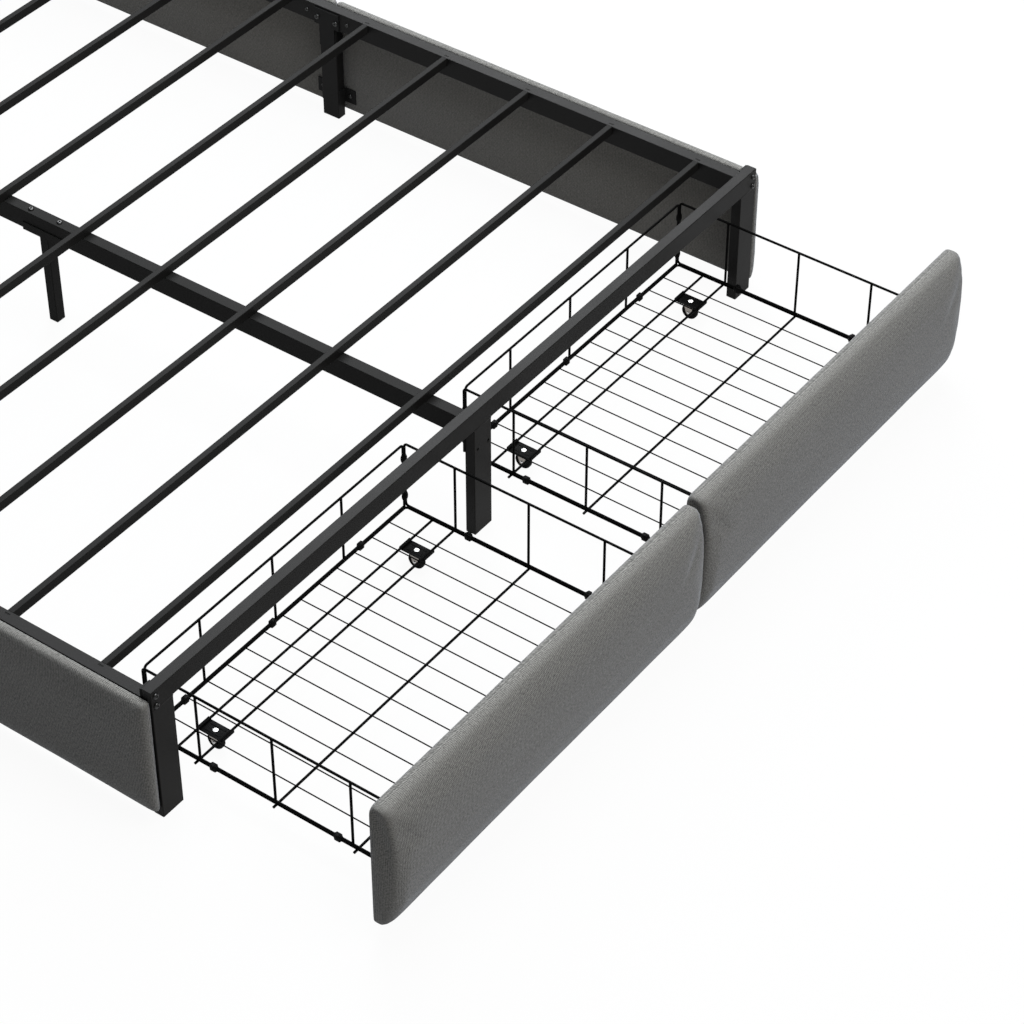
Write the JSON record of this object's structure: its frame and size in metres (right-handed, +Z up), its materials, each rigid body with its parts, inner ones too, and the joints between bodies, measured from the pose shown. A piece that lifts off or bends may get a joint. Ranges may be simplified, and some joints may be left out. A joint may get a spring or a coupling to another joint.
{
  "type": "platform bed with storage drawers",
  "caption": "Steel-framed platform bed with slats and upholstered grey side panels, and wire-basket drawers on casters that roll out at the foot end.",
  "frame": {"origin": "on the floor under the middle of the bed's plan, at the foot of the centre support", "axes": "+X across the bed from the left side to the right side, +Y from the foot end to the head end, +Z up"},
  "size_m": [1.88, 2.6653, 0.3043],
  "materials": {
    "frame_steel": "matte charcoal powder coat",
    "bracket_steel": "matte black powder coat",
    "bolt_steel": "black zinc",
    "plug_plastic": "moulded black",
    "grey_fabric": "mid grey linen weave",
    "lining_board": "board behind dark grey lining",
    "basket_wire": "black powder coat",
    "clip_plastic": "moulded black",
    "caster_steel": "black painted pressed steel",
    "wheel_rubber": "solid black wheel"
  },
  "bodies": {
    "bed_frame": {"foot_beam": "frame_steel", "head_beam": "frame_steel", "foot_leg_left": "frame_steel", "foot_leg_middle": "frame_steel", "foot_leg_right": "frame_steel", "head_leg_left": "frame_steel", "head_leg_middle": "frame_steel", "head_leg_right": "frame_steel", "left_rail_foot": "frame_steel", "left_rail_head": "frame_steel", "right_rail_foot": "frame_steel", "right_rail_head": "frame_steel", "left_side_leg": "frame_steel", "right_side_leg": "frame_steel", "centre_beam_foot": "frame_steel", "centre_beam_head": "frame_steel", "centre_support": "frame_steel", "joint_plates": "bracket_steel", "slat_01": "frame_steel", "slat_02": "frame_steel", "slat_03": "frame_steel", "slat_04": "frame_steel", "slat_05": "frame_steel", "slat_06": "frame_steel", "slat_07": "frame_steel", "slat_08": "frame_steel", "slat_09": "frame_steel", "slat_10": "frame_steel", "panel_brackets": "bracket_steel", "frame_bolts": "bolt_steel", "tube_plugs": "plug_plastic", "left_panel_foot": "grey_fabric", "left_panel_head": "grey_fabric", "right_panel_foot": "grey_fabric", "right_panel_head": "grey_fabric", "panel_boards": "lining_board"},
    "left_drawer": {"left_drawer_front": "grey_fabric", "left_drawer_board": "lining_board", "left_basket_floor": "basket_wire", "left_basket_left": "basket_wire", "left_basket_right": "basket_wire", "left_basket_back": "basket_wire", "left_basket_clips": "clip_plastic", "left_casters": "caster_steel"},
    "left_wheel_back_left": {"left_wheel_back_left": "wheel_rubber"},
    "left_wheel_back_right": {"left_wheel_back_right": "wheel_rubber"},
    "left_wheel_front_left": {"left_wheel_front_left": "wheel_rubber"},
    "left_wheel_front_right": {"left_wheel_front_right": "wheel_rubber"},
    "right_drawer": {"right_drawer_front": "grey_fabric", "right_drawer_board": "lining_board", "right_basket_floor": "basket_wire", "right_basket_left": "basket_wire", "right_basket_right": "basket_wire", "right_basket_back": "basket_wire", "right_basket_clips": "clip_plastic", "right_casters": "caster_steel"},
    "right_wheel_back_left": {"right_wheel_back_left": "wheel_rubber"},
    "right_wheel_back_right": {"right_wheel_back_right": "wheel_rubber"},
    "right_wheel_front_left": {"right_wheel_front_left": "wheel_rubber"},
    "right_wheel_front_right": {"right_wheel_front_right": "wheel_rubber"}
  },
  "joints": [
    {"name": "left_drawer_slide", "type": "slide", "parent": "bed_frame", "child": "left_drawer", "axis": [0, 1, 0], "range_m": [-0.09, 0.4425]},
    {"name": "left_wheel_back_left_spin", "type": "hinge", "parent": "left_drawer", "child": "left_wheel_back_left", "pos_m": [-0.7335, -1.0435, 0.0175], "axis": [1, 0, 0], "continuous": true},
    {"name": "left_wheel_back_right_spin", "type": "hinge", "parent": "left_drawer", "child": "left_wheel_back_right", "pos_m": [-0.1599, -1.0435, 0.0175], "axis": [1, 0, 0], "continuous": true},
    {"name": "left_wheel_front_left_spin", "type": "hinge", "parent": "left_drawer", "child": "left_wheel_front_left", "pos_m": [-0.7335, -1.4415, 0.0175], "axis": [1, 0, 0], "continuous": true},
    {"name": "left_wheel_front_right_spin", "type": "hinge", "parent": "left_drawer", "child": "left_wheel_front_right", "pos_m": [-0.1599, -1.4415, 0.0175], "axis": [1, 0, 0], "continuous": true},
    {"name": "right_drawer_slide", "type": "slide", "parent": "bed_frame", "child": "right_drawer", "axis": [0, 1, 0], "range_m": [-0.09, 0.4355]},
    {"name": "right_wheel_back_left_spin", "type": "hinge", "parent": "right_drawer", "child": "right_wheel_back_left", "pos_m": [0.186, -1.0365, 0.0175], "axis": [1, 0, 0], "continuous": true},
    {"name": "right_wheel_back_right_spin", "type": "hinge", "parent": "right_drawer", "child": "right_wheel_back_right", "pos_m": [0.7596, -1.0365, 0.0175], "axis": [1, 0, 0], "continuous": true},
    {"name": "right_wheel_front_left_spin", "type": "hinge", "parent": "right_drawer", "child": "right_wheel_front_left", "pos_m": [0.186, -1.4345, 0.0175], "axis": [1, 0, 0], "continuous": true},
    {"name": "right_wheel_front_right_spin", "type": "hinge", "parent": "right_drawer", "child": "right_wheel_front_right", "pos_m": [0.7596, -1.4345, 0.0175], "axis": [1, 0, 0], "continuous": true}
  ],
  "couplings": [
    {"joint": "left_wheel_back_left_spin", "follows": "left_drawer_slide", "rad_per_m": -57.143},
    {"joint": "left_wheel_back_right_spin", "follows": "left_drawer_slide", "rad_per_m": -57.143},
    {"joint": "left_wheel_front_left_spin", "follows": "left_drawer_slide", "rad_per_m": -57.143},
    {"joint": "left_wheel_front_right_spin", "follows": "left_drawer_slide", "rad_per_m": -57.143},
    {"joint": "right_wheel_back_left_spin", "follows": "right_drawer_slide", "rad_per_m": -57.143},
    {"joint": "right_wheel_back_right_spin", "follows": "right_drawer_slide", "rad_per_m": -57.143},
    {"joint": "right_wheel_front_left_spin", "follows": "right_drawer_slide", "rad_per_m": -57.143},
    {"joint": "right_wheel_front_right_spin", "follows": "right_drawer_slide", "rad_per_m": -57.143}
  ]
}
